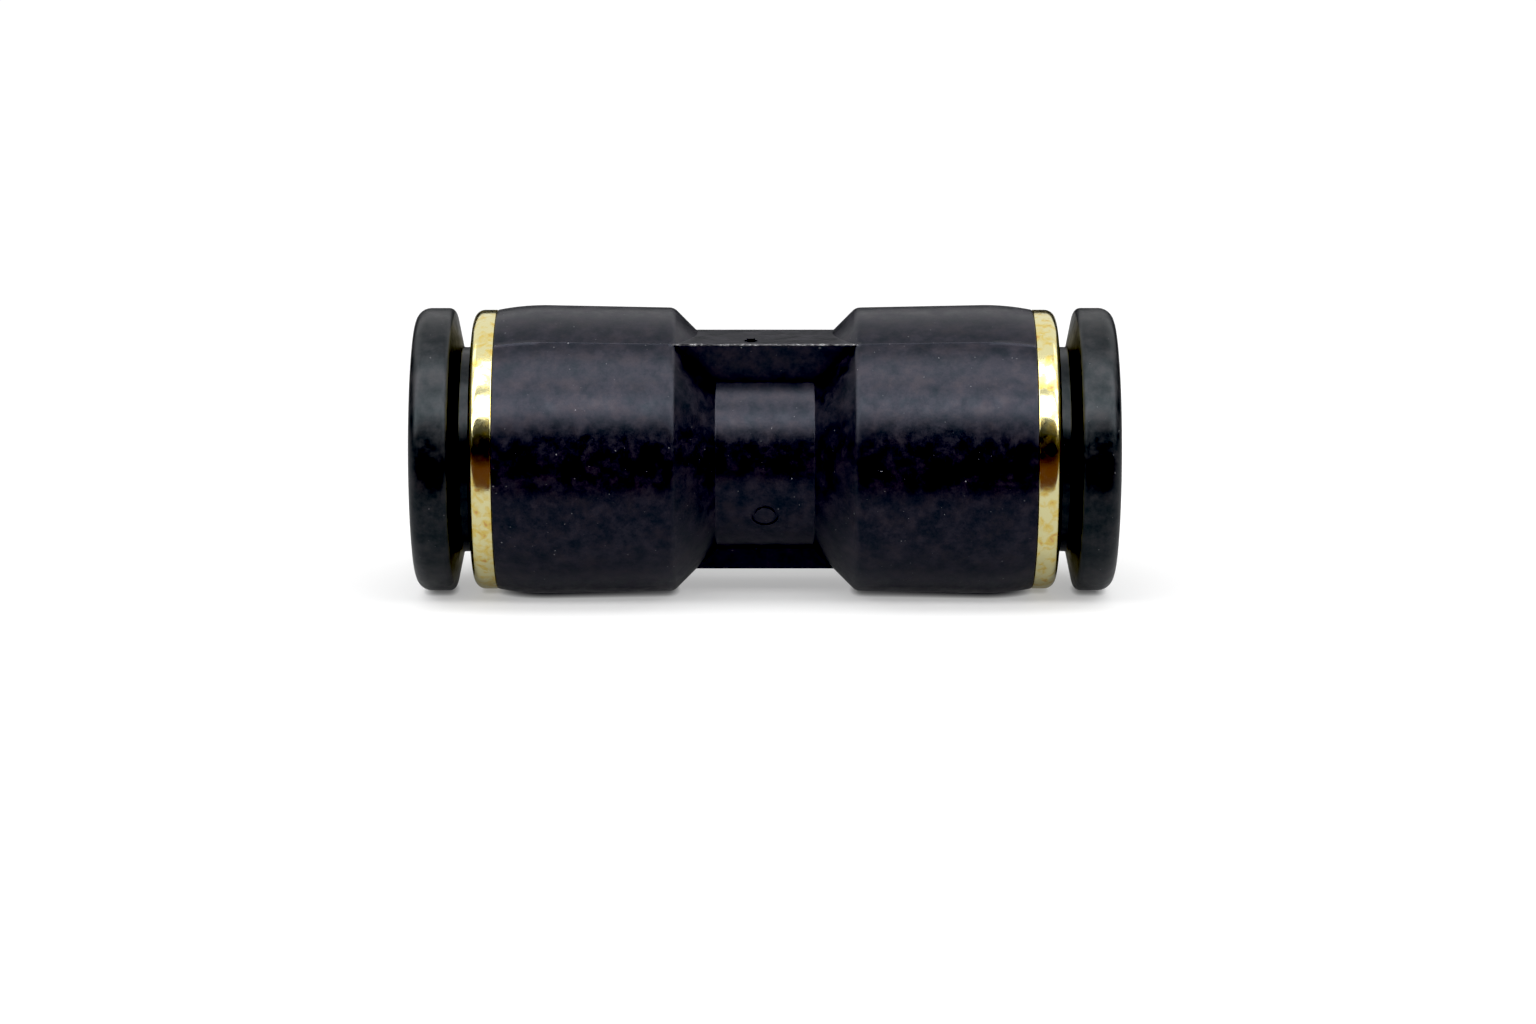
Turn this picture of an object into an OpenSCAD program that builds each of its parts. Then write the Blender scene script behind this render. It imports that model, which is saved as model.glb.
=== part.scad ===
// Straight push fit union for plastic tube. The bore lies along X, with the origin at its middle.
// Each end holds a seal, a toothed grab ring and a release collar, and a metal ring pressed into
// the mouth keeps them in.

/* [Tube and bore] */
// Outside diameter of the tube that each end takes
tube_d = 12; // [10:0.5:14.5]
// Radial room around the tube in the bore that it seats in
seat_clear = 0.1; // [0.05:0.05:0.2]
// Thickness of the stop between the two tubes
stop_t = 2.2; // [1.6:0.2:3.2]
// How far the stop stands in from the seat bore
stop_h = 1.4; // [1:0.1:2]

/* [Body] */
// Length of the moulded body from mouth to mouth
body_len = 38.5; // [32:0.5:46.5]
// Wall of a barrel outside the cartridge bore, at its crown
barrel_wall = 1.56; // [1.3:0.02:2.4]
// Radius that a barrel loses in the rounded run-out at its mouth
mouth_drop = 0.34; // [0.2:0.02:0.46]
// Length of the rounded run-out
mouth_run = 3.44; // [2.5:0.02:4.5]
// Radius that a barrel loses by draft, from its crown to the shoulder
barrel_draft = 0.18; // [0:0.02:0.25]
// Radius on the edge between a barrel and its shoulder
shoulder_round = 0.8; // [0.2:0.1:1]
// Length of the bare tube between the two 45 degree shoulders
waist_len = 7; // [5.5:0.5:9]
// Wall of the waist tube
waist_wall = 1.08; // [0.9:0.02:1.4]
// How far below the barrels' edge the flats of the waist webs lie
flat_drop = 1.71; // [1.3:0.01:2.3]
// How far each flat runs past the middle of the body
flat_past = 1.5; // [1:0.1:2.5]
// Lean of each web's open side, measured from upright
web_lean = 21.6; // [15:0.2:26]

/* [Seal] */
// Thickness of the O-ring's section
o_ring_t = 2.35; // [1.9:0.05:2.85]
// How much smaller than the tube the O-ring is, on the radius
seal_squeeze = 0.1; // [0.05:0.01:0.15]
// Axial room beside the O-ring in its gland
gland_room = 0.45; // [0.3:0.05:0.6]
// Thickness of the washer that closes the gland
washer_t = 0.8; // [0.6:0.1:1.2]
// Least width of the shoulder that the washer sits on
washer_seat = 0.45; // [0.35:0.01:0.6]

/* [Grab ring] */
// Thickness of the grab ring's sheet
grab_t = 0.3; // [0.25:0.01:0.4]
// Number of teeth
grab_teeth = 12; // [8:1:16]
// Lean of the teeth into the body, measured from the ring's own plane
tooth_lean = 36; // [30:1:40]
// Width of the slots between teeth
tooth_gap = 0.6; // [0.4:0.1:0.8]
// How much smaller than the tube the teeth are, on the radius
grab_bite = 0.1; // [0.05:0.01:0.15]

/* [Retaining ring] */
// Width of the ring that shows at the mouth
ring_w = 1.68; // [1.3:0.02:2.4]
// Radius on the ring's outer corner
ring_corner = 0.76; // [0.3:0.02:0.8]
// Least wall of the sleeve
sleeve_wall = 0.7; // [0.6:0.05:0.9]
// Length of the land that the collar slides in, back from the ring's face
land_len = 2.93; // [2.5:0.01:3.3]
// How far the sleeve's barbs bite into the body
barb_bite = 0.1; // [0.05:0.01:0.15]

/* [Release collar] */
// Radial room around the tube in the collar
collar_clear = 0.35; // [0.3:0.05:0.45]
// Wall of the collar's neck
collar_wall = 1.04; // [0.9:0.02:1.3]
// How far the collar slides in to free the tube
release_travel = 0.7; // [0.5:0.1:1.2]
// Width of the flange at its rim, over both of its rounded corners
flange_w = 2.74; // [2.3:0.02:3.3]
// How much the flange's rim stands back from its foot, on the side facing the ring
flange_dish = 0.6; // [0.3:0.05:0.7]
// Radius on the flange's outer corner
flange_corner = 1.05; // [0.4:0.05:1.2]
// Radius on the flange's rim, on the side facing the ring
rim_corner = 0.5; // [0.2:0.05:0.7]
// How far the collar's lip stands out, which keeps it in the ring
lip_h = 0.5; // [0.4:0.05:0.6]
// Width of the lip
lip_w = 0.9; // [0.7:0.1:1.1]
// Number of slots that let the lip spring in
collar_slots = 4; // [3:1:6]
// Width of those slots
slot_w = 1; // [0.8:0.1:1.2]

/* [Hidden] */
$fn = 96;

left = -1;
right = 1;
over = 1; // how far a cutter runs past the face that it opens
sunk = 0.4; // how far a joined piece is let into its neighbour
flange_proud = 0.13; // collar flange outside the ring, on the radius

// Radial clearances
slide_clear = 0.15; // collar neck in the ring's land
lip_clear = 0.22; // collar lip in the ring's sleeve
press_clear = 0.05; // plain part of the sleeve in the body
drop_clear = 0.12; // loose rings in the body
gland_clear = 0.05; // O-ring in its gland
nose_clear = 0.2; // collar nose to teeth, washer and support
// Axial clearances
stop_gap = 0.15; // flange foot to ring at full travel
lip_gap = 0.1; // lip to its shoulder at rest
lip_room = 0.3; // lip to the grab ring at full travel
nose_room = 0.58; // nose to the washer at full travel, where the bent teeth lie

// Radii, from the tube outwards
tube_r = tube_d / 2;
seat_r = tube_r + seat_clear;
flow_r = seat_r - stop_h;
o_ring_r = tube_r - seal_squeeze + o_ring_t / 2;
gland_r = o_ring_r + o_ring_t / 2 + gland_clear;
collar_r = tube_r + collar_clear;
neck_r = collar_r + collar_wall;
nose_r = neck_r - collar_wall / 2;
lip_r = neck_r + lip_h;
land_r = neck_r + slide_clear;
chamber_r = lip_r + lip_clear;
cartridge_r = max(chamber_r + sleeve_wall + press_clear, gland_r + washer_seat);
sleeve_r = cartridge_r - press_clear;
loose_r = cartridge_r - drop_clear;
support_r = neck_r + nose_clear;
tooth_root_r = support_r;
crown_r = cartridge_r + barrel_wall;
mouth_r = crown_r - mouth_drop;
edge_r = crown_r - barrel_draft;
waist_r = seat_r + waist_wall;
flat_z = edge_r - flat_drop;
ring_r = mouth_r;
flange_r = mouth_r + flange_proud;

// Stations along the bore of the right-hand end
mouth_x = body_len / 2;
ring_x = mouth_x + ring_w;
shoulder_x = ring_x - land_len;
lip_x = shoulder_x - lip_gap;
grab_x = lip_x - lip_w - lip_h - release_travel - lip_room;
support_x = grab_x - grab_t;
nose_x = grab_x - (tooth_root_r - nose_r) * tan(tooth_lean) + nose_clear;
washer_x = nose_x - release_travel - nose_room;
gland_x = washer_x - washer_t;
seat_x = gland_x - o_ring_t - gland_room;
stop_x = stop_t / 2;
foot_x = ring_x + release_travel + stop_gap;
rim_x = foot_x + flange_dish;
face_x = rim_x + flange_w;
cone_x = waist_len / 2;
edge_x = cone_x + edge_r - waist_r;
run_x = mouth_x - mouth_run;

// Points on an arc, as [radius, station] pairs, with turn as the angle from the radial direction
function arc(centre, r, from, to, steps = 6) =
    [for (i = [0:steps]) let (turn = from + (to - from) * i / steps)
        [centre[0] + r * cos(turn), centre[1] + r * sin(turn)]];

// Turns a profile of [radius, station] points about the bore
module turned(profile) {
    rotate([0, 90, 0]) rotate_extrude() polygon(profile);
}

module at_end(side) {
    mirror([side == left ? 1 : 0, 0, 0]) children();
}

// Right half of the body's outside, from the waist to the mouth
function barrel_half() =
    let (run_r = (mouth_run * mouth_run + mouth_drop * mouth_drop) / (2 * mouth_drop),
        run_turn = asin(mouth_run / run_r),
        blend_x = shoulder_round * tan(22.5))
    concat(
        [[waist_r, cone_x]],
        arc([edge_r - shoulder_round, edge_x + blend_x], shoulder_round, -45, 0, 3),
        arc([crown_r - run_r, run_x], run_r, 0, run_turn, 6)
    );

function flipped(points) = [for (i = [len(points) - 1:-1:0]) [points[i][0], -points[i][1]]];

// Right half of the hole through the body, from the stop to the mouth
function bore_half() =
    let (lead = 0.3)
    [[flow_r, stop_x], [seat_r, stop_x], [seat_r, seat_x - lead], [seat_r + lead, seat_x],
        [gland_r, seat_x], [gland_r, gland_x], [cartridge_r, gland_x], [cartridge_r, mouth_x + over]];

// A web from the waist tube out to its flat. Its foot lies in the bore, which is cut through it later.
module waist_web() {
    corner_in = 0.03;
    corner_r = edge_r - corner_in;
    corner_y = -sqrt(corner_r * corner_r - flat_z * flat_z);
    foot_z = seat_r / 2;
    foot_y = corner_y + (flat_z - foot_z) * tan(web_lean);
    rotate([90, 0, 90])
        translate([0, 0, -edge_x - sunk])
            linear_extrude(2 * (edge_x + sunk))
                polygon([[corner_y, flat_z], [foot_y, foot_z], [flat_past, foot_z], [flat_past, flat_z]]);
}

module body() {
    color([0.09, 0.09, 0.1])
    difference() {
        union() {
            turned(concat([[0, -mouth_x]], flipped(barrel_half()), barrel_half(), [[0, mouth_x]]));
            waist_web();
            rotate([180, 0, 0]) waist_web();
        }
        turned(concat([[0, -mouth_x - over]], flipped(bore_half()), bore_half(), [[0, mouth_x + over]]));
    }
}

module o_ring(side) {
    color([0.05, 0.05, 0.05])
    at_end(side)
        translate([(seat_x + gland_x) / 2, 0, 0])
            rotate([0, 90, 0]) rotate_extrude() translate([o_ring_r, 0]) circle(o_ring_t / 2);
}

module seal_washer(side) {
    inner_r = collar_r;
    bevel = 0.15;
    color([0.86, 0.85, 0.8])
    at_end(side)
        turned([[inner_r, gland_x], [loose_r, gland_x], [loose_r, washer_x],
            [inner_r + bevel, washer_x], [inner_r, washer_x - bevel]]);
}

module grab_support(side) {
    bevel = 0.3;
    color([0.8, 0.78, 0.7])
    at_end(side)
        turned([[support_r, washer_x], [loose_r, washer_x], [loose_r, support_x],
            [support_r + bevel, support_x], [support_r, support_x - bevel]]);
}

// A flat rim with teeth that lean into the body and end just inside the tube's surface
module grab_ring(side) {
    tip_r = tube_r - grab_bite;
    fall = (tooth_root_r - tip_r) * tan(tooth_lean);
    past_root = 0.15;
    color([0.75, 0.76, 0.78])
    at_end(side)
        difference() {
            turned([[tooth_root_r, grab_x], [loose_r, grab_x], [loose_r, support_x],
                [tooth_root_r, support_x], [tip_r, support_x - fall], [tip_r, grab_x - fall]]);
            for (i = [0:grab_teeth - 1])
                rotate([i * 360 / grab_teeth, 0, 0])
                    translate([support_x - fall - over, -tooth_gap / 2, 0])
                        cube([fall + grab_t + 2 * over, tooth_gap, tooth_root_r + past_root]);
        }
}

module retaining_ring(side) {
    lead = 0.35;
    barb_len = (mouth_x - grab_x) / 5;
    barb_r = cartridge_r + barb_bite;
    barbs = [for (i = [1:2]) each
        [[sleeve_r, grab_x + 2 * i * barb_len - barb_len], [barb_r, grab_x + 2 * i * barb_len],
            [sleeve_r, grab_x + 2 * i * barb_len]]];
    color([0.85, 0.7, 0.3])
    at_end(side)
        turned(concat(
            [[chamber_r, grab_x], [sleeve_r, grab_x]],
            barbs,
            [[sleeve_r, mouth_x], [ring_r, mouth_x]],
            arc([ring_r - ring_corner, ring_x - ring_corner], ring_corner, 0, 90, 6),
            [[land_r + lead, ring_x], [land_r, ring_x - lead], [land_r, shoulder_x], [chamber_r, shoulder_x]]
        ));
}

module release_collar(side) {
    fillet = 0.2;
    dish_lean = atan(flange_dish / (flange_r - neck_r));
    rim_centre_r = flange_r - rim_corner;
    rim_centre_x = foot_x + (rim_centre_r - neck_r) * tan(dish_lean) + rim_corner / cos(dish_lean);
    lead = 0.7;
    lip_back = lip_x - lip_w;
    nose_back = nose_x + neck_r - nose_r;
    past_lip = 0.6;
    slot_end = lip_x + past_lip;
    color([0.08, 0.08, 0.09])
    at_end(side)
        difference() {
            turned(concat(
                [[collar_r, nose_x], [nose_r, nose_x], [neck_r, nose_back],
                    [neck_r, lip_back - lip_h], [lip_r, lip_back], [lip_r, lip_x], [neck_r, lip_x]],
                [[neck_r, foot_x - fillet], [neck_r + fillet, foot_x]],
                arc([rim_centre_r, rim_centre_x], rim_corner, dish_lean - 90, 0, 6),
                arc([flange_r - flange_corner, face_x - flange_corner], flange_corner, 0, 90, 6),
                [[collar_r + lead, face_x], [collar_r, face_x - lead]]
            ));
            for (i = [0:collar_slots - 1])
                rotate([(i + 0.5) * 360 / collar_slots, 0, 0])
                    translate([nose_x - over, -slot_w / 2, 0])
                        cube([slot_end - nose_x + over, slot_w, lip_r + over]);
        }
}

body();
o_ring(left);  // left_o_ring
seal_washer(left);  // left_seal_washer
grab_support(left);  // left_grab_support
grab_ring(left);  // left_grab_ring
retaining_ring(left);  // left_retaining_ring
release_collar(left);  // left_release_collar
o_ring(right);  // right_o_ring
seal_washer(right);  // right_seal_washer
grab_support(right);  // right_grab_support
grab_ring(right);  // right_grab_ring
retaining_ring(right);  // right_retaining_ring
release_collar(right);  // right_release_collar
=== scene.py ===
import math
import random

import bpy
from mathutils import Matrix, Vector


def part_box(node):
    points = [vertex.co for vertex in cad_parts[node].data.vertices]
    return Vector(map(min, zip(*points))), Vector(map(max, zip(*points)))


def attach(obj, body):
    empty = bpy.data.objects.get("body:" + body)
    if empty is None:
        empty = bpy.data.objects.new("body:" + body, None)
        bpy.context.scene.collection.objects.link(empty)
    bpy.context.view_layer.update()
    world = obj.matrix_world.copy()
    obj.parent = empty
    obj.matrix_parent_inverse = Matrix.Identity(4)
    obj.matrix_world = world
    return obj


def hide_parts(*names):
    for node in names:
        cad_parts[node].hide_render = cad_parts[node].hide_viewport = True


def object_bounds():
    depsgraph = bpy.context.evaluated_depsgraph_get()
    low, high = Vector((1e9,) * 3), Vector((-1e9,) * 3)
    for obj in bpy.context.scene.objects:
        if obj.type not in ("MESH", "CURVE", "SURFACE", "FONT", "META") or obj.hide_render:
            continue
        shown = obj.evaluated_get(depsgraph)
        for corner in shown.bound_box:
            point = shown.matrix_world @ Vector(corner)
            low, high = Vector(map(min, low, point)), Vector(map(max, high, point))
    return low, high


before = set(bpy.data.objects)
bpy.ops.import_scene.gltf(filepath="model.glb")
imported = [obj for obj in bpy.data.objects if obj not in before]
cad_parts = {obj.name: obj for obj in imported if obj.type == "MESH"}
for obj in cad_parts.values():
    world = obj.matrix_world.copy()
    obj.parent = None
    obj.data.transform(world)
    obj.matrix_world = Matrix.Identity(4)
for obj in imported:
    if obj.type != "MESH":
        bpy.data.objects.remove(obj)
cadLow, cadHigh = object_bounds()

mm = 0.001
overrun = 1  # how far a cutter runs past the face that it opens


# Camera: a long lens a little above the object, aimed just below its middle
cameraSetup = {
    "elevation": 10.2,
    "distance": 326.5,
    "lens": 105.75,
    "aimBelow": 4.55,
    "aimRight": 0.22,
}


def placeCamera(setup):
    tilt = math.radians(setup["elevation"])
    back = Vector((0, -math.cos(tilt), math.sin(tilt)))
    up = Vector((0, math.sin(tilt), math.cos(tilt)))
    middle = (cadLow + cadHigh) / 2
    bpy.ops.object.camera_add(location=middle + back * setup["distance"] * mm)
    camera = bpy.context.object
    camera.name = "productCamera"
    aim = middle - up * setup["aimBelow"] * mm + Vector((setup["aimRight"] * mm, 0, 0))
    camera.rotation_euler = (aim - camera.location).to_track_quat("-Z", "Y").to_euler()
    camera.data.sensor_width = 36
    camera.data.lens = setup["lens"]
    camera.data.clip_start = 0.01
    camera.data.clip_end = 10
    bpy.context.scene.camera = camera


placeCamera(cameraSetup)
print("camera placed")


# Helpers for modelling

def startClean():
    if bpy.context.mode != "OBJECT":
        bpy.ops.object.mode_set(mode="OBJECT")
    bpy.ops.object.select_all(action="DESELECT")


def activate(piece):
    startClean()
    piece.select_set(True)
    bpy.context.view_layer.objects.active = piece


def pick(piece, kind, test):
    # selects vertices, edges (by both ends) or faces by their place, and leaves the piece in edit mode
    bpy.ops.object.mode_set(mode="EDIT")
    bpy.ops.mesh.select_mode(type=kind)
    bpy.ops.mesh.select_all(action="DESELECT")
    bpy.ops.object.mode_set(mode="OBJECT")
    mesh = piece.data
    if kind == "VERT":
        for vertex in mesh.vertices:
            vertex.select = test(vertex.co / mm)
    elif kind == "EDGE":
        for edge in mesh.edges:
            edge.select = test(*[mesh.vertices[i].co / mm for i in edge.vertices])
    else:
        for face in mesh.polygons:
            face.select = test(face.center / mm)
    bpy.ops.object.mode_set(mode="EDIT")


def outward(degrees):
    # direction square to the bore, measured upwards from the front
    turn = math.radians(degrees)
    return Vector((0, -math.cos(turn), math.sin(turn)))


def roundOff(corners):
    # corners are (station, radius, rounding), all in millimetres; returns the outline with its arcs
    arcStep = math.radians(13)
    path = []
    for i, (station, radius, rounding) in enumerate(corners):
        here = Vector((station, radius))
        if not rounding:
            path.append(here)
            continue
        before = (Vector(corners[i - 1][:2]) - here).normalized()
        after = (Vector(corners[(i + 1) % len(corners)][:2]) - here).normalized()
        half = before.angle(after) / 2
        centre = here + (before + after).normalized() * rounding / math.sin(half)
        first = here + before * rounding / math.tan(half) - centre
        last = here + after * rounding / math.tan(half) - centre
        sweep = first.angle(last)
        steps = max(2, math.ceil(sweep / arcStep))
        if first.cross(last) < 0:
            sweep = -sweep
        for step in range(steps + 1):
            path.append(centre + Matrix.Rotation(sweep * step / steps, 2) @ first)
    return path


def turnPiece(name, path, steps, startAt=0):
    # draws the outline point by point in a plane through the bore, then spins it about the bore
    side = outward(startAt)
    points = [Vector((station, 0, 0)) * mm + side * radius * mm for station, radius in path]
    if path[0].y > 0:
        points.append(points[0])
    startClean()
    bpy.ops.mesh.primitive_plane_add(size=mm)
    piece = bpy.context.object
    piece.name = name
    piece.data.name = name
    bpy.ops.object.mode_set(mode="EDIT")
    bpy.ops.mesh.select_mode(type="VERT")
    bpy.ops.mesh.select_all(action="SELECT")
    bpy.ops.mesh.merge(type="CENTER")
    bpy.ops.transform.translate(value=points[0])
    for last, point in zip(points, points[1:]):
        bpy.ops.mesh.extrude_vertices_move(TRANSFORM_OT_translate={"value": point - last})
    bpy.ops.mesh.select_all(action="SELECT")
    bpy.ops.mesh.spin(steps=steps, angle=math.tau, center=(0, 0, 0), axis=(1, 0, 0))
    bpy.ops.mesh.select_all(action="SELECT")
    bpy.ops.mesh.remove_doubles(threshold=0.001 * mm)
    bpy.ops.mesh.normals_make_consistent(inside=False)
    bpy.ops.object.mode_set(mode="OBJECT")
    return piece


def block(name, low, high):
    # a box between two corners, in millimetres, ready to be shaped in edit mode
    low, high = Vector(low), Vector(high)
    startClean()
    bpy.ops.mesh.primitive_cube_add(size=mm)
    piece = bpy.context.object
    piece.name = name
    bpy.ops.object.mode_set(mode="EDIT")
    bpy.ops.mesh.select_all(action="SELECT")
    bpy.ops.transform.resize(value=high - low, center_override=(0, 0, 0))
    bpy.ops.transform.translate(value=(low + high) / 2 * mm)
    bpy.ops.object.mode_set(mode="OBJECT")
    return piece


def combine(piece, tool, operation):
    # joins a tool to the piece or cuts it away, and removes the tool
    activate(piece)
    bpy.ops.object.modifier_add(type="BOOLEAN")
    modifier = piece.modifiers[-1]
    modifier.operation = operation
    modifier.solver = "EXACT"
    modifier.object = tool
    bpy.ops.object.modifier_apply(modifier=modifier.name)
    bpy.data.objects.remove(tool)


def smooth(piece, degrees=32):
    activate(piece)
    bpy.ops.object.shade_smooth_by_angle(angle=math.radians(degrees))
    bpy.ops.object.modifier_add(type="WEIGHTED_NORMAL")
    piece.modifiers[-1].keep_sharp = True
    bpy.ops.object.modifier_apply(modifier=piece.modifiers[-1].name)


def turnedOver(piece, name, axis):
    # a copy with its own mesh, turned half way round about an axis through the object's middle
    activate(piece)
    bpy.ops.object.duplicate()
    copy = bpy.context.object
    copy.name = name
    copy.data.name = name
    bpy.ops.object.mode_set(mode="EDIT")
    bpy.ops.mesh.select_all(action="SELECT")
    bpy.ops.transform.rotate(value=math.pi, orient_axis=axis, center_override=(0, 0, 0))
    bpy.ops.object.mode_set(mode="OBJECT")
    return copy


def nodeBox(node):
    low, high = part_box(node)
    return low / mm, high / mm


# Stations and radii that the pieces share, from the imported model
bodyHigh = nodeBox("body")[1]
ringLow, ringHigh = nodeBox("right_retaining_ring")
collarLow, collarHigh = nodeBox("right_release_collar")
washerLow, washerHigh = nodeBox("right_seal_washer")
supportLow, supportHigh = nodeBox("right_grab_support")
sealLow, sealHigh = nodeBox("right_o_ring")
grabHigh = nodeBox("right_grab_ring")[1]

mouthStation = bodyHigh.x
glandStation = washerLow.x
seatStation = sealLow.x + sealHigh.x - glandStation
cartridgeGap = 0.12  # room round the loose washer and support
cartridgeRadius = washerHigh.z + cartridgeGap


# Body: barrels, shoulders and waist turned in one, then the two webs, then the bore
bodySizes = {
    "draft": 0.18,
    "runOut": 3.44,
    "runSteps": 7,
    "shoulderRound": 0.8,
    "waistRadius": 7.18,
    "waistHalf": 3.5,
    "waistRound": 0.2,
    "mouthRound": 0.12,
    "flowRadius": 4.7,
    "stopHalf": 1.1,
    "seatRadius": 6.1,
    "glandRadius": 8.3,
    "seatLead": 0.3,
    "webTop": 8.53,
    "webIn": 0.03,
    "webPast": 1.5,
    "webLean": 21.6,
    "webSunk": 0.4,
    "webRound": 0.1,
    "lineHeight": 0.022,
    "lineWidth": 0.07,
    "steps": 192,
}
edgeRadius = bodyHigh.z - bodySizes["draft"]
edgeStation = bodySizes["waistHalf"] + edgeRadius - bodySizes["waistRadius"]
webCorner = -math.sqrt((edgeRadius - bodySizes["webIn"]) ** 2 - bodySizes["webTop"] ** 2)
partingAngle = math.degrees(math.atan2(bodySizes["webTop"], -webCorner))


def barrelOutline(sizes):
    # right half of the outside, from the waist to the mouth
    crown = bodyHigh.z
    runStation = mouthStation - sizes["runOut"]
    drop = crown - ringHigh.z
    sweepRadius = (sizes["runOut"] ** 2 + drop ** 2) / (2 * drop)
    corners = [
        (sizes["waistHalf"], sizes["waistRadius"], sizes["waistRound"]),
        (edgeStation, edgeRadius, sizes["shoulderRound"]),
        (runStation, crown, 0),
    ]
    for step in range(1, sizes["runSteps"]):
        past = sizes["runOut"] * step / sizes["runSteps"]
        radius = crown - sweepRadius + math.sqrt(sweepRadius ** 2 - past ** 2)
        corners.append((runStation + past, radius, 0))
    corners.append((mouthStation, ringHigh.z, sizes["mouthRound"]))
    return corners


def boreOutline(sizes):
    # right half of the hole, from the stop to past the mouth
    lead = sizes["seatLead"]
    return [
        (sizes["stopHalf"], sizes["flowRadius"], 0.15),
        (sizes["stopHalf"], sizes["seatRadius"], 0.1),
        (seatStation - lead, sizes["seatRadius"], 0),
        (seatStation, sizes["seatRadius"] + lead, 0),
        (seatStation, sizes["glandRadius"], 0.1),
        (glandStation, sizes["glandRadius"], 0.05),
        (glandStation, cartridgeRadius, 0.05),
        (mouthStation + overrun, cartridgeRadius, 0),
    ]


def bothEnds(corners):
    return [(-station, radius, rounding) for station, radius, rounding in reversed(corners)] + corners


def closedOutline(corners):
    # runs the outline down to the bore's axis at both ends, for a solid of revolution
    return roundOff([(corners[0][0], 0, 0)] + corners + [(corners[-1][0], 0, 0)])


def raisePartingLine(piece, sizes):
    # a fine ridge along both barrels, where the two halves of the mould met
    for degrees in (partingAngle, partingAngle + 180):
        side = outward(degrees)

        def onLine(place):
            radial = Vector((0, place.y, place.z))
            away = (radial - side * radial.dot(side)).length
            return place.dot(side) > edgeRadius - 0.3 and away < 0.001

        pick(piece, "EDGE", lambda start, end: onLine(start) and onLine(end))
        bpy.ops.mesh.bevel(offset=sizes["lineWidth"] / 2 * mm, segments=2, affect="EDGES")
        pick(piece, "VERT", onLine)
        bpy.ops.transform.translate(value=side * sizes["lineHeight"] * mm)
        bpy.ops.object.mode_set(mode="OBJECT")


def lengthwise(start, end):
    return abs(start.x - end.x) > 1


def makeWeb(sizes):
    # stands on the waist tube, with a flat on top and one open side that leans in
    foot = sizes["seatRadius"] / 2
    half = edgeStation + sizes["webSunk"]
    web = block("web", (-half, webCorner, foot), (half, sizes["webPast"], sizes["webTop"]))
    pick(web, "VERT", lambda place: place.z < foot + 0.1 and place.y < 0)
    lean = (sizes["webTop"] - foot) * math.tan(math.radians(sizes["webLean"]))
    bpy.ops.transform.translate(value=(0, lean * mm, 0))
    high = 2 * sizes["webTop"] - 0.1
    pick(web, "EDGE", lambda start, end: start.z + end.z > high and lengthwise(start, end))
    bpy.ops.mesh.bevel(offset=sizes["webRound"] * mm, segments=4, affect="EDGES")
    bpy.ops.object.mode_set(mode="OBJECT")
    return web


# Flash: a thin uneven fin along each web's open corner
flashSizes = {
    "short": 0.04,
    "thick": 0.035,
    "proud": 0.03,
    "sunk": 0.12,
    "wander": 0.035,
    "cuts": 90,
    "seed": 11,
}


def makeFlash(sizes):
    corner = Vector((0, webCorner, bodySizes["webTop"]))
    half = edgeStation - sizes["short"]
    fin = block("flash",
                (-half, corner.y - sizes["proud"], corner.z - sizes["thick"] / 2),
                (half, corner.y + sizes["sunk"], corner.z + sizes["thick"] / 2))
    pick(fin, "EDGE", lengthwise)
    bpy.ops.mesh.subdivide(number_cuts=sizes["cuts"])
    bpy.ops.object.mode_set(mode="OBJECT")
    chance = random.Random(sizes["seed"])
    lift = {}
    for vertex in fin.data.vertices:
        key = round(vertex.co.x / mm, 3)
        if key not in lift:
            lift[key] = (chance.uniform(-1, 1), chance.uniform(-1, 1))
        if vertex.co.y / mm < corner.y:
            vertex.co.y += lift[key][0] * sizes["wander"] * mm
        vertex.co.z += lift[key][1] * sizes["wander"] * 0.5 * mm
    return fin


# Moulding marks on the waist: a broken gate in the upper flat and a plain round pin mark below
markSizes = {
    "gateStation": -1.0,
    "gateAcross": -3.9,
    "gateRadius": 0.5,
    "gateDepth": 0.24,
    "stubRadius": 0.3,
    "stubHeight": 0.2,
    "pinRadius": 0.95,
    "pinDepth": 0.12,
    "pinMiddle": 0.7,
    "pinMiddleDepth": 0.03,
    "pinAngle": -31,
}
discSteps = 48


def disc(name, centre, axis, radius, height):
    startClean()
    bpy.ops.mesh.primitive_cylinder_add(vertices=discSteps, radius=radius * mm, depth=height * mm)
    piece = bpy.context.object
    piece.name = name
    piece.location = centre * mm
    piece.rotation_euler = axis.to_track_quat("Z", "Y").to_euler()
    bpy.ops.object.transform_apply(location=True, rotation=True, scale=True)
    return piece


def addMarks(body, marks):
    up = Vector((0, 0, 1))
    gateAt = Vector((marks["gateStation"], marks["gateAcross"], bodySizes["webTop"]))
    hollowAt = gateAt + up * (overrun / 2 - marks["gateDepth"])
    combine(body, disc("gate", hollowAt, up, marks["gateRadius"], overrun), "DIFFERENCE")
    stubAt = gateAt + up * (marks["stubHeight"] - overrun / 2)
    combine(body, disc("stub", stubAt, up, marks["stubRadius"], overrun), "UNION")
    pinSide = outward(marks["pinAngle"])
    pinFloor = bodySizes["waistRadius"] - marks["pinDepth"]
    pinAt = pinSide * (pinFloor + overrun / 2)
    combine(body, disc("pin", pinAt, pinSide, marks["pinRadius"], overrun), "DIFFERENCE")
    middleAt = pinSide * (pinFloor - marks["pinMiddleDepth"])
    middle = disc("pinMiddle", middleAt, pinSide, marks["pinMiddle"], marks["pinDepth"] * 2)
    combine(body, middle, "UNION")


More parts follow.
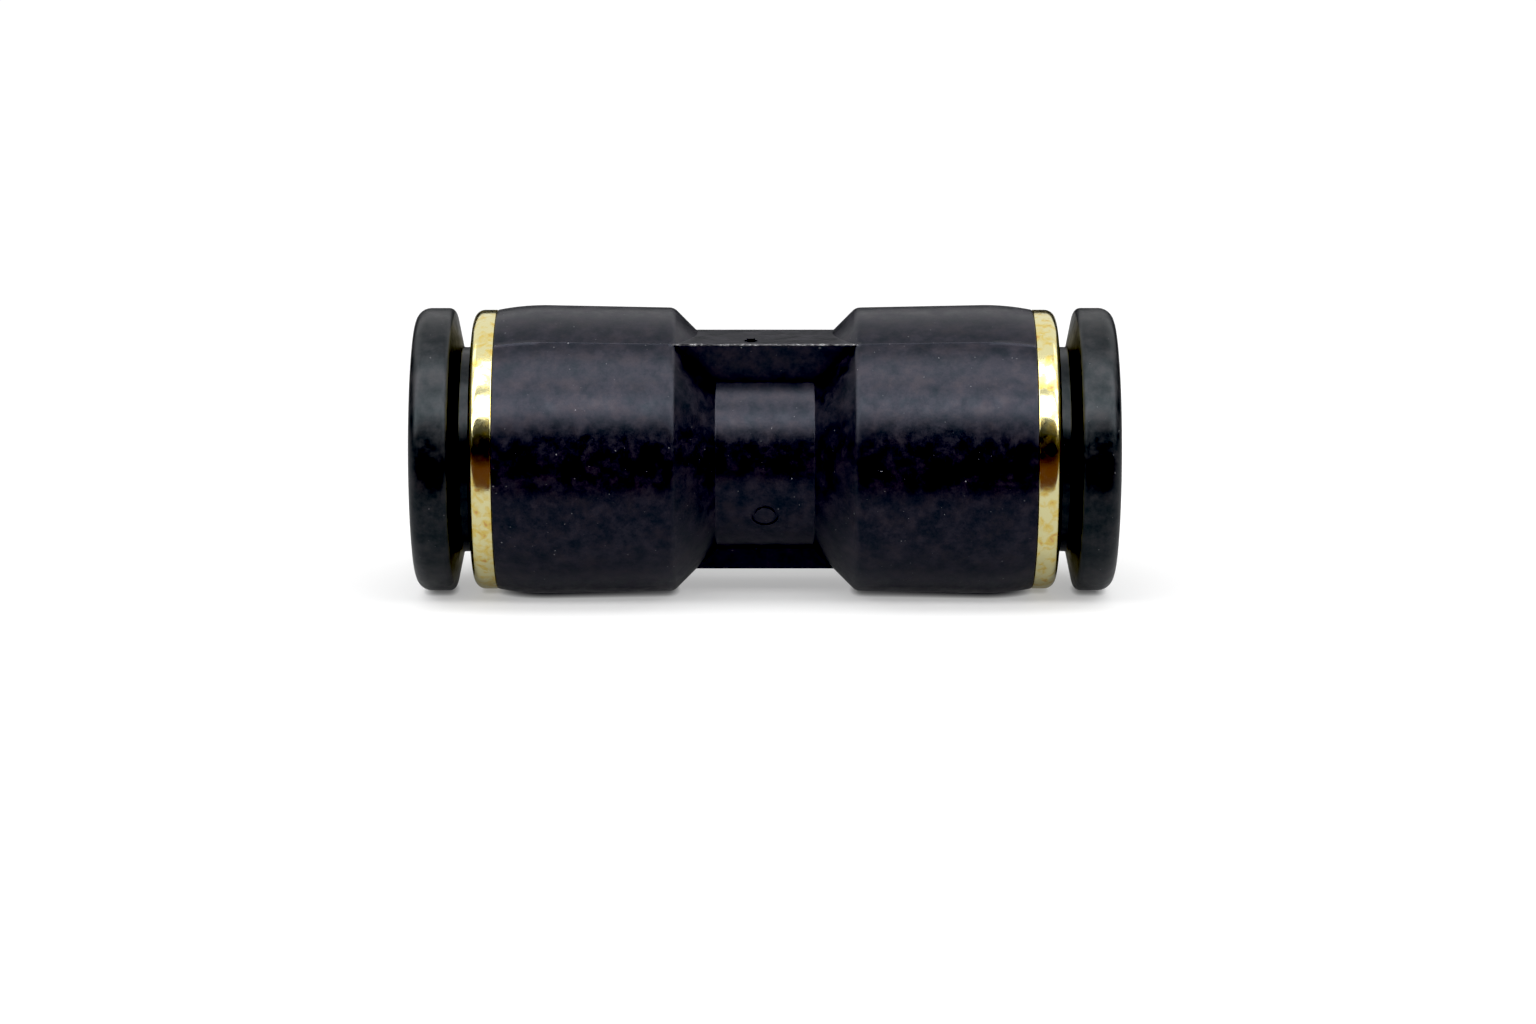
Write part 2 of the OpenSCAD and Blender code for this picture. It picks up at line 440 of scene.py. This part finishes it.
def makeBody(sizes):
    outside = closedOutline(bothEnds(barrelOutline(sizes)))
    body = turnPiece("shellBody", outside, sizes["steps"], partingAngle)
    raisePartingLine(body, sizes)
    web = makeWeb(sizes)
    combine(body, turnedOver(web, "lowerWeb", "X"), "UNION")
    combine(body, web, "UNION")
    inside = closedOutline(bothEnds(boreOutline(sizes)))
    combine(body, turnPiece("bore", inside, sizes["steps"], partingAngle), "DIFFERENCE")
    fin = makeFlash(flashSizes)
    combine(body, turnedOver(fin, "lowerFlash", "X"), "UNION")
    combine(body, fin, "UNION")
    addMarks(body, markSizes)
    smooth(body)
    return body


bodyPiece = makeBody(bodySizes)
print("body modelled:", len(bodyPiece.data.polygons), "faces")


# Retaining ring: a rolled flange outside and a barbed sleeve pressed into the barrel
ringSizes = {
    "sleeveGap": 0.05,
    "barbBite": 0.1,
    "barbPitches": 5,
    "chamberRadius": 8.11,
    "landRadius": 7.54,
    "landLength": 2.93,
    "cornerRound": 0.76,
    "backRound": 0.1,
    "lead": 0.35,
    "steps": 176,
}


def ringOutline(sizes):
    sleeve = cartridgeRadius - sizes["sleeveGap"]
    barb = cartridgeRadius + sizes["barbBite"]
    start, face = ringLow.x, ringHigh.x
    corners = [(start, sizes["chamberRadius"], 0.06), (start, sleeve, 0.1)]
    step = (mouthStation - start) / sizes["barbPitches"]
    for i in (1, 3):
        corners += [
            (start + i * step, sleeve, 0),
            (start + (i + 1) * step, barb, 0.02),
            (start + (i + 1) * step, sleeve, 0),
        ]
    corners += [
        (mouthStation, sleeve, 0.05),
        (mouthStation, ringHigh.z, sizes["backRound"]),
        (face, ringHigh.z, sizes["cornerRound"]),
        (face, sizes["landRadius"] + sizes["lead"], 0.15),
        (face - sizes["lead"], sizes["landRadius"], 0.15),
        (face - sizes["landLength"], sizes["landRadius"], 0.05),
        (face - sizes["landLength"], sizes["chamberRadius"], 0.05),
    ]
    return corners


rightRing = turnPiece("rightRetainingRing", roundOff(ringOutline(ringSizes)), ringSizes["steps"])
smooth(rightRing)
leftRing = turnedOver(rightRing, "leftRetainingRing", "Z")
print("retaining rings modelled")


# Release collar: a flange to push, a neck that slides in the ring, and a split lip that keeps it in
collarSizes = {
    "boreRadius": 6.35,
    "neckRadius": 7.39,
    "noseRadius": 6.87,
    "lipRadius": 7.89,
    "lipWidth": 0.9,
    "lipGap": 0.1,
    "footGap": 0.85,
    "dish": 0.6,
    "cornerRound": 1.05,
    "rimRound": 0.5,
    "lead": 0.7,
    "slots": 4,
    "slotWidth": 1.0,
    "slotPast": 0.6,
    "steps": 176,
}


lipFront = ringHigh.x - ringSizes["landLength"] - collarSizes["lipGap"]


def collarOutline(sizes):
    nose, face = collarLow.x, collarHigh.x
    neck, lip = sizes["neckRadius"], sizes["lipRadius"]
    lipBack = lipFront - sizes["lipWidth"]
    foot = ringHigh.x + sizes["footGap"]
    return [
        (nose, sizes["boreRadius"], 0.1),
        (nose, sizes["noseRadius"], 0.1),
        (nose + neck - sizes["noseRadius"], neck, 0.1),
        (lipBack - (lip - neck), neck, 0.05),
        (lipBack, lip, 0.08),
        (lipFront, lip, 0.06),
        (lipFront, neck, 0.05),
        (foot, neck, 0.2),
        (foot + sizes["dish"], collarHigh.z, sizes["rimRound"]),
        (face, collarHigh.z, sizes["cornerRound"]),
        (face, sizes["boreRadius"] + sizes["lead"], 0.3),
        (face - sizes["lead"], sizes["boreRadius"], 0.4),
    ]


def radialCuts(name, low, high, count, startAt):
    # boxes spaced evenly round the bore; the first points to the front before it is turned
    cuts = block(name, low, high)
    bpy.ops.object.mode_set(mode="EDIT")
    bpy.ops.mesh.select_all(action="SELECT")
    if startAt:
        turn = math.radians(startAt)
        bpy.ops.transform.rotate(value=turn, orient_axis="X", center_override=(0, 0, 0))
    sweep = math.tau / count * (count - 1)
    bpy.ops.mesh.spin(steps=count - 1, angle=sweep, dupli=True, center=(0, 0, 0), axis=(1, 0, 0))
    bpy.ops.object.mode_set(mode="OBJECT")
    return cuts


def makeCollar(sizes):
    collar = turnPiece("rightReleaseCollar", roundOff(collarOutline(sizes)), sizes["steps"])
    halfSlot = sizes["slotWidth"] / 2
    low = (collarLow.x - overrun, -sizes["lipRadius"] - overrun, -halfSlot)
    high = (lipFront + sizes["slotPast"], -sizes["boreRadius"] + overrun, halfSlot)
    cuts = radialCuts("collarSlots", low, high, sizes["slots"], 180 / sizes["slots"])
    combine(collar, cuts, "DIFFERENCE")
    smooth(collar)
    return collar


rightCollar = makeCollar(collarSizes)
leftCollar = turnedOver(rightCollar, "leftReleaseCollar", "Z")
print("release collars modelled")


# O-ring: a round section with the fine flash of its two mould halves inside and outside
sealSizes = {"flashProud": 0.03, "flashHalf": 0.05, "sectionSteps": 32, "steps": 128}


def sealOutline(sizes):
    thick = sealHigh.x - sealLow.x
    middle = Vector(((sealLow.x + sealHigh.x) / 2, sealHigh.z - thick / 2))
    edge = thick / 2 - sizes["flashProud"]
    points = []
    for step in range(sizes["sectionSteps"]):
        turn = math.tau * (step + 0.5) / sizes["sectionSteps"]
        points.append(middle + Vector((math.cos(turn), math.sin(turn))) * edge)
    quarter = sizes["sectionSteps"] // 4
    for at in (3 * quarter, quarter):
        side = 1 if at == quarter else -1
        points[at:at] = [
            middle + Vector((sizes["flashHalf"], side * edge)),
            middle + Vector((0, side * thick / 2)),
            middle + Vector((-sizes["flashHalf"], side * edge)),
        ][::side]
    return points


rightSeal = turnPiece("rightORing", sealOutline(sealSizes), sealSizes["steps"])
smooth(rightSeal)
leftSeal = turnedOver(rightSeal, "leftORing", "Z")

# Seal washer and grab support: plain turned rings with eased edges
washerSizes = {"boreRadius": 6.35, "bevel": 0.15, "ease": 0.06, "steps": 144}
supportSizes = {"boreRadius": 7.59, "bevel": 0.3, "ease": 0.08, "steps": 144}


def ringBlank(name, low, high, sizes):
    bore, bevel, ease = sizes["boreRadius"], sizes["bevel"], sizes["ease"]
    corners = [
        (low.x, bore, ease),
        (low.x, high.z, ease),
        (high.x, high.z, ease),
        (high.x, bore + bevel, ease),
        (high.x - bevel, bore, ease),
    ]
    blank = turnPiece(name, roundOff(corners), sizes["steps"])
    smooth(blank)
    return blank


rightWasher = ringBlank("rightSealWasher", washerLow, washerHigh, washerSizes)
leftWasher = turnedOver(rightWasher, "leftSealWasher", "Z")
rightSupport = ringBlank("rightGrabSupport", supportLow, supportHigh, supportSizes)
leftSupport = turnedOver(rightSupport, "leftGrabSupport", "Z")

# Grab ring: pressed sheet, with twelve teeth that lean in to bite the tube
grabSizes = {
    "thick": 0.3,
    "rootRadius": 7.59,
    "tipRadius": 5.9,
    "lean": 36,
    "teeth": 12,
    "gap": 0.6,
    "gapPast": 0.15,
    "ease": 0.04,
    "steps": 144,
}


def makeGrabRing(sizes):
    fall = (sizes["rootRadius"] - sizes["tipRadius"]) * math.tan(math.radians(sizes["lean"]))
    front, back = grabHigh.x, grabHigh.x - sizes["thick"]
    corners = [
        (front, sizes["rootRadius"], 0.1),
        (front, grabHigh.z, sizes["ease"]),
        (back, grabHigh.z, sizes["ease"]),
        (back, sizes["rootRadius"], 0.3),
        (back - fall, sizes["tipRadius"], 0),
        (front - fall, sizes["tipRadius"], 0),
    ]
    ring = turnPiece("rightGrabRing", roundOff(corners), sizes["steps"])
    halfGap = sizes["gap"] / 2
    low = (back - fall - overrun, -sizes["rootRadius"] - sizes["gapPast"], -halfGap)
    high = (front + overrun, -sizes["tipRadius"] + overrun, halfGap)
    combine(ring, radialCuts("toothGaps", low, high, sizes["teeth"], 0), "DIFFERENCE")
    smooth(ring)
    return ring


rightGrab = makeGrabRing(grabSizes)
leftGrab = turnedOver(rightGrab, "leftGrabRing", "Z")
print("seals, washers, supports and grab rings modelled")


# Materials

def startMaterial(name):
    material = bpy.data.materials.new(name)
    material.use_nodes = True
    shader = material.node_tree.nodes["Principled BSDF"]
    return material, material.node_tree, shader


def placeInMillimetres(tree):
    coordinates = tree.nodes.new("ShaderNodeTexCoord")
    mapping = tree.nodes.new("ShaderNodeMapping")
    mapping.inputs["Scale"].default_value = (1 / mm, 1 / mm, 1 / mm)
    tree.links.new(coordinates.outputs["Object"], mapping.inputs["Vector"])
    return mapping.outputs["Vector"]


def noise(tree, place, perMillimetre, detail=3, roughness=0.55, distortion=0):
    node = tree.nodes.new("ShaderNodeTexNoise")
    node.inputs["Scale"].default_value = perMillimetre
    node.inputs["Detail"].default_value = detail
    node.inputs["Roughness"].default_value = roughness
    node.inputs["Distortion"].default_value = distortion
    tree.links.new(place, node.inputs["Vector"])
    return node.outputs["Fac"]


def spread(tree, value, fromLow, fromHigh, toLow, toHigh):
    node = tree.nodes.new("ShaderNodeMapRange")
    node.inputs["From Min"].default_value = fromLow
    node.inputs["From Max"].default_value = fromHigh
    node.inputs["To Min"].default_value = toLow
    node.inputs["To Max"].default_value = toHigh
    tree.links.new(value, node.inputs["Value"])
    return node.outputs["Result"]


def ramp(tree, value, stops):
    node = tree.nodes.new("ShaderNodeValToRGB")
    while len(node.color_ramp.elements) < len(stops):
        node.color_ramp.elements.new(0.5)
    for element, (position, colour) in zip(node.color_ramp.elements, stops):
        element.position = position
        element.color = (*colour, 1)
    tree.links.new(value, node.inputs["Fac"])
    return node.outputs["Color"]


def bump(tree, value, height, normal=None):
    node = tree.nodes.new("ShaderNodeBump")
    node.inputs["Strength"].default_value = 1
    node.inputs["Distance"].default_value = height * mm
    tree.links.new(value, node.inputs["Height"])
    if normal:
        tree.links.new(normal, node.inputs["Normal"])
    return node.outputs["Normal"]


# Moulded black plastic: blotchy colour and gloss, a fine skin and a few specks of dust
bodyPlasticLook = {
    "dark": (0.0014, 0.0022, 0.003),
    "middle": (0.0034, 0.0033, 0.005),
    "light": (0.0088, 0.0076, 0.0105),
    "gloss": (0.29, 0.41),
    "specular": 0.5,
    "dullTint": (0.5, 0.58, 0.7),
    "middleTint": (0.7, 0.72, 0.88),
    "brightTint": (0.92, 0.86, 1),
    "blotchSize": 0.9,
    "bloomSize": 0.7,
    "skinSize": 8,
    "skinHeight": 0.0026,
    "swellHeight": 0.004,
    "dustSize": 5.5,
    "dustFrom": 0.795,
    "speck": (0.16, 0.16, 0.17),
}
collarPlasticLook = dict(
    bodyPlasticLook,
    dark=(0.0014, 0.0019, 0.002),
    middle=(0.0036, 0.0038, 0.0041),
    light=(0.0088, 0.0084, 0.0088),
    gloss=(0.29, 0.42),
    dullTint=(0.5, 0.6, 0.64),
    middleTint=(0.7, 0.78, 0.84),
    brightTint=(0.92, 0.94, 1),
)


def makePlastic(name, look):
    material, tree, shader = startMaterial(name)
    place = placeInMillimetres(tree)
    blotch = noise(tree, place, look["blotchSize"], 5, 0.68)
    bloom = noise(tree, place, look["bloomSize"], 6, 0.72)
    skin = noise(tree, place, look["skinSize"], 3, 0.6)
    dust = noise(tree, place, look["dustSize"], 1, 0.4)
    speckAmount = spread(tree, dust, look["dustFrom"], look["dustFrom"] + 0.015, 0, 1)
    colour = ramp(tree, blotch, [(0.38, look["dark"]), (0.5, look["middle"]), (0.62, look["light"])])
    mix = tree.nodes.new("ShaderNodeMixRGB")
    tree.links.new(speckAmount, mix.inputs["Fac"])
    tree.links.new(colour, mix.inputs["Color1"])
    mix.inputs["Color2"].default_value = (*look["speck"], 1)
    tree.links.new(mix.outputs["Color"], shader.inputs["Base Color"])
    tree.links.new(spread(tree, blotch, 0.36, 0.64, *look["gloss"]), shader.inputs["Roughness"])
    swell = bump(tree, blotch, look["swellHeight"])
    tree.links.new(bump(tree, skin, look["skinHeight"], swell), shader.inputs["Normal"])
    shader.inputs["Specular IOR Level"].default_value = look["specular"]
    shader.inputs["Specular Tint"].default_value = (*look["middleTint"], 1)
    tints = [(0.36, look["dullTint"]), (0.5, look["middleTint"]), (0.64, look["brightTint"])]
    tree.links.new(ramp(tree, bloom, tints), shader.inputs["Specular Tint"])
    return material


# Flash: the same plastic, with a pale painted highlight in patches along the fin where its edge would
# catch the light
flashLook = {
    "whole": (0.02, 0.02, 0.025),
    "dimHighlight": (0.14, 0.14, 0.15),
    "paintedHighlight": (0.6, 0.6, 0.61),
    "highlightSize": 2.6,
}


def makeFlashPlastic(look):
    material, tree, shader = startMaterial("flashPlastic")
    place = placeInMillimetres(tree)
    highlightPattern = noise(tree, place, look["highlightSize"], 5, 0.75)
    # the pale patches along the fin are a painted highlight
    colour = ramp(tree, highlightPattern, [(0.38, look["whole"]), (0.52, look["dimHighlight"]), (0.66, look["paintedHighlight"])])
    tree.links.new(colour, shader.inputs["Base Color"])
    tree.links.new(bump(tree, highlightPattern, 0.02), shader.inputs["Normal"])
    shader.inputs["Roughness"].default_value = 0.3
    return material


# Yellow metal: bright finish, a fine grain and a mottled tarnish
metalLook = {
    "pale": (0.92, 0.85, 0.46),
    "gold": (0.9, 0.7, 0.2),
    "rust": (0.74, 0.4, 0.17),
    "gloss": (0.1, 0.19),
    "mottleSize": 1.4,
    "swellHeight": 0.004,
    "grainHeight": 0.0012,
}


def makeYellowMetal(look):
    material, tree, shader = startMaterial("yellowMetal")
    place = placeInMillimetres(tree)
    mottle = noise(tree, place, look["mottleSize"], 3, 0.55, 0.4)
    grain = noise(tree, place, 14, 2, 0.5)
    colour = ramp(tree, mottle, [(0.26, look["rust"]), (0.38, look["gold"]), (0.54, look["pale"])])
    tree.links.new(colour, shader.inputs["Base Color"])
    bright, dull = look["gloss"]
    tree.links.new(spread(tree, mottle, 0.35, 0.65, dull, bright), shader.inputs["Roughness"])
    swell = bump(tree, mottle, look["swellHeight"])
    tree.links.new(bump(tree, grain, look["grainHeight"], swell), shader.inputs["Normal"])
    shader.inputs["Metallic"].default_value = 1
    return material


# Spring steel: fine lines from the rolled sheet
def makeSpringSteel():
    material, tree, shader = startMaterial("springSteel")
    place = placeInMillimetres(tree)
    lines = tree.nodes.new("ShaderNodeMapping")
    lines.inputs["Scale"].default_value = (1, 1, 14)
    tree.links.new(place, lines.inputs["Vector"])
    rolled = noise(tree, lines.outputs["Vector"], 1.6, 4, 0.6)
    colour = ramp(tree, rolled, [(0.3, (0.5, 0.5, 0.52)), (0.7, (0.66, 0.66, 0.67))])
    tree.links.new(colour, shader.inputs["Base Color"])
    tree.links.new(spread(tree, rolled, 0.3, 0.7, 0.2, 0.34), shader.inputs["Roughness"])
    tree.links.new(bump(tree, rolled, 0.003), shader.inputs["Normal"])
    shader.inputs["Metallic"].default_value = 1
    return material


# Seal rubber: matt, with a soft bloom
def makeSealRubber():
    material, tree, shader = startMaterial("sealRubber")
    place = placeInMillimetres(tree)
    bloom = noise(tree, place, 1.1, 4, 0.6)
    colour = ramp(tree, bloom, [(0.3, (0.008, 0.008, 0.008)), (0.75, (0.022, 0.022, 0.023))])
    tree.links.new(colour, shader.inputs["Base Color"])
    tree.links.new(spread(tree, bloom, 0.3, 0.7, 0.42, 0.6), shader.inputs["Roughness"])
    tree.links.new(bump(tree, noise(tree, place, 12, 2, 0.5), 0.003), shader.inputs["Normal"])
    return material


# Spacer plastic: natural off-white acetal
def makeSpacerPlastic():
    material, tree, shader = startMaterial("spacerPlastic")
    place = placeInMillimetres(tree)
    cloud = noise(tree, place, 0.8, 3, 0.5)
    colour = ramp(tree, cloud, [(0.3, (0.66, 0.64, 0.56)), (0.7, (0.78, 0.76, 0.69))])
    tree.links.new(colour, shader.inputs["Base Color"])
    tree.links.new(spread(tree, cloud, 0.3, 0.7, 0.35, 0.5), shader.inputs["Roughness"])
    tree.links.new(bump(tree, noise(tree, place, 8, 3, 0.5), 0.003), shader.inputs["Normal"])
    shader.inputs["Subsurface Weight"].default_value = 0.1
    shader.inputs["Subsurface Scale"].default_value = 0.5 * mm
    return material


bodyPlastic = makePlastic("bodyPlastic", bodyPlasticLook)
collarPlastic = makePlastic("collarPlastic", collarPlasticLook)
flashPlastic = makeFlashPlastic(flashLook)
yellowMetal = makeYellowMetal(metalLook)
springSteel = makeSpringSteel()
sealRubber = makeSealRubber()
spacerPlastic = makeSpacerPlastic()


def paintFlash(piece):
    # the fins get the flash plastic with its painted highlight, found by their place along the two
    # corners
    piece.data.materials.append(flashPlastic)
    corner = Vector((webCorner, bodySizes["webTop"]))
    for face in piece.data.polygons:
        across = Vector((face.center.y, face.center.z)) / mm
        near = min((across - corner).length, (across + corner).length)
        within = abs(face.center.x) / mm < edgeStation - flashSizes["short"]
        if near < bodySizes["webRound"] and within:
            face.material_index = 1


def hand(piece, material, body, node):
    piece.data.materials.clear()
    piece.data.materials.append(material)
    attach(piece, body)
    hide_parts(node)


hand(bodyPiece, bodyPlastic, "body", "body")
paintFlash(bodyPiece)
for side, ring, collar, seal, washer, support, grab in (
    ("left", leftRing, leftCollar, leftSeal, leftWasher, leftSupport, leftGrab),
    ("right", rightRing, rightCollar, rightSeal, rightWasher, rightSupport, rightGrab),
):
    hand(ring, yellowMetal, "body", side + "_retaining_ring")
    hand(collar, collarPlastic, side + "_collar", side + "_release_collar")
    hand(seal, sealRubber, "body", side + "_o_ring")
    hand(washer, spacerPlastic, "body", side + "_seal_washer")
    hand(support, spacerPlastic, "body", side + "_grab_support")
    hand(grab, springSteel, "body", side + "_grab_ring")
print("materials given out")


# Stage: a white sweep with a painted contact shadow and a painted reflection of its own, soft boxes
# above, behind and beside, and a black card that only reflections see: a painted dark reflection with
# a warm painted reflection along its lower part
stageSetup = {
    "floorSize": 3,
    "whiteGlow": 1.05,
    "floorColour": 0.5,
    "floorGlow": 0.41,
    # how far under the parts the painted contact shadow reaches
    "paintedShadowReach": 0.00045,
    "fadeFrom": 0.07,
    "fadeTo": 0.2,
    # the floor as reflections see it: a painted reflection, dimmer than the floor the camera sees,
    # with a faint glow
    "floorInGloss": 0.31,
    "glowInGloss": 0.12,
    "worldInGloss": 0.03,
    "cardDistance": 0.031,
    "cardHeight": 0.022,
    "cardWidth": 0.8,
    # colour of the warm painted reflection that the card's lower part gives
    "cardPaintedReflection": (0.1, 0.042, 0.03),
}
softBoxes = {
    "frontBox": {"elevation": 45, "height": 16.6, "width": 136, "radiance": 5.5},
    "topBox": {"elevation": 75, "height": 22, "width": 120, "radiance": 3.5},
    "gapFill": {"elevation": 58.5, "height": 11, "width": 120, "radiance": 0.6},
    "backBox": {"elevation": 124, "height": 74, "width": 100, "radiance": 0.8},
    "leftBox": {"elevation": 38, "height": 36, "width": 50, "radiance": 0.8, "side": -90},
    "rightBox": {"elevation": 38, "height": 36, "width": 50, "radiance": 0.8, "side": 90},
}
boxDistance = 0.45


def addSoftBox(name, box):
    turn = math.radians(box["elevation"])
    side = math.radians(box.get("side", 0))
    across = math.cos(turn)
    place = Vector((math.sin(side) * across, -math.cos(side) * across, math.sin(turn))) * boxDistance
    height = 2 * boxDistance * math.tan(math.radians(box["height"] / 2))
    width = 2 * boxDistance * math.tan(math.radians(box["width"] / 2))
    bpy.ops.object.light_add(type="AREA", location=place)
    light = bpy.context.object
    light.name = name
    light.rotation_euler = (-place).to_track_quat("-Z", "Y").to_euler()
    light.data.shape = "RECTANGLE"
    light.data.size = width
    light.data.size_y = height
    light.data.energy = box["radiance"] * math.pi * width * height
    light.visible_camera = False


def makeFloor(setup):
    startClean()
    bpy.ops.mesh.primitive_plane_add(size=setup["floorSize"], location=(0, 0, cadLow.z))
    floor = bpy.context.object
    floor.name = "floor"
    material = bpy.data.materials.new("whiteSweep")
    material.use_nodes = True
    tree = material.node_tree
    tree.nodes.clear()
    output = tree.nodes.new("ShaderNodeOutputMaterial")
    diffuse = tree.nodes.new("ShaderNodeBsdfDiffuse")
    diffuse.inputs["Color"].default_value = (setup["floorColour"],) * 3 + (1,)
    glow = tree.nodes.new("ShaderNodeEmission")
    # the floor's glow fades out close under the parts: a painted contact shadow along the barrels
    near = tree.nodes.new("ShaderNodeAmbientOcclusion")
    near.samples = 8
    near.inputs["Distance"].default_value = setup["paintedShadowReach"]
    glowWithPaintedShadow = spread(tree, near.outputs["AO"], 0, 1, 0, setup["floorGlow"])
    tree.links.new(glowWithPaintedShadow, glow.inputs["Strength"])
    lit = tree.nodes.new("ShaderNodeAddShader")
    tree.links.new(diffuse.outputs[0], lit.inputs[0])
    tree.links.new(glow.outputs[0], lit.inputs[1])
    white = tree.nodes.new("ShaderNodeEmission")
    white.inputs["Strength"].default_value = setup["whiteGlow"]
    coordinates = tree.nodes.new("ShaderNodeTexCoord")
    far = tree.nodes.new("ShaderNodeVectorMath")
    far.operation = "LENGTH"
    tree.links.new(coordinates.outputs["Object"], far.inputs[0])
    fade = spread(tree, far.outputs["Value"], setup["fadeFrom"], setup["fadeTo"], 0, 1)
    sweep = tree.nodes.new("ShaderNodeMixShader")
    tree.links.new(fade, sweep.inputs["Fac"])
    tree.links.new(lit.outputs[0], sweep.inputs[1])
    tree.links.new(white.outputs[0], sweep.inputs[2])
    # reflections see their own dimmer floor with a faint glow: a painted reflection of the floor in
    # the lower parts
    bounce = tree.nodes.new("ShaderNodeBsdfDiffuse")
    bounce.inputs["Color"].default_value = (setup["floorInGloss"],) * 3 + (1,)
    faint = tree.nodes.new("ShaderNodeEmission")
    faint.inputs["Strength"].default_value = setup["glowInGloss"]
    mirrored = tree.nodes.new("ShaderNodeAddShader")
    tree.links.new(bounce.outputs[0], mirrored.inputs[0])
    tree.links.new(faint.outputs[0], mirrored.inputs[1])
    rays = tree.nodes.new("ShaderNodeLightPath")
    choice = tree.nodes.new("ShaderNodeMixShader")
    tree.links.new(rays.outputs["Is Glossy Ray"], choice.inputs["Fac"])
    tree.links.new(sweep.outputs[0], choice.inputs[1])
    tree.links.new(mirrored.outputs[0], choice.inputs[2])
    tree.links.new(choice.outputs[0], output.inputs["Surface"])
    floor.data.materials.append(material)


def makeCard(setup):
    startClean()
    middle = cadLow.z + setup["cardHeight"] / 2
    bpy.ops.mesh.primitive_plane_add(size=1, rotation=(math.pi / 2, 0, 0))
    card = bpy.context.object
    card.name = "blackCard"
    card.location = (0, -setup["cardDistance"], middle)
    card.scale = (setup["cardWidth"], setup["cardHeight"], 1)
    material, tree, shader = startMaterial("cardPaint")
    # the card is black: a painted dark reflection on the front of the parts
    shader.inputs["Base Color"].default_value = (0, 0, 0, 1)
    shader.inputs["Specular IOR Level"].default_value = 0
    coordinates = tree.nodes.new("ShaderNodeTexCoord")
    split = tree.nodes.new("ShaderNodeSeparateXYZ")
    tree.links.new(coordinates.outputs["Object"], split.inputs[0])
    # its lower part glows warm: a painted reflection low on the front of the parts
    height = spread(tree, split.outputs["Y"], -0.1, 0.05, 1, 0)
    tree.links.new(height, shader.inputs["Emission Strength"])
    shader.inputs["Emission Color"].default_value = (*setup["cardPaintedReflection"], 1)
    card.data.materials.append(material)
    card.visible_camera = False
    card.visible_diffuse = False
    card.visible_shadow = False


def makeWorld(setup):
    world = bpy.data.worlds.new("studio")
    bpy.context.scene.world = world
    world.use_nodes = True
    tree = world.node_tree
    seen = tree.nodes["Background"]
    rays = tree.nodes.new("ShaderNodeLightPath")
    toCamera = rays.outputs["Is Camera Ray"]
    strength = spread(tree, toCamera, 0, 1, setup["worldInGloss"], setup["whiteGlow"])
    tree.links.new(strength, seen.inputs["Strength"])
    seen.inputs["Color"].default_value = (1, 1, 1, 1)


for name, box in softBoxes.items():
    addSoftBox(name, box)
makeFloor(stageSetup)
makeCard(stageSetup)
makeWorld(stageSetup)
print("stage set")

# Plain display of the colours, with the deepest blacks closed up a little
viewSettings = bpy.context.scene.view_settings
viewSettings.view_transform = "Standard"
viewSettings.look = "None"
viewSettings.use_curve_mapping = True
viewSettings.curve_mapping.black_level = (0.015, 0.015, 0.014)
viewSettings.curve_mapping.update()
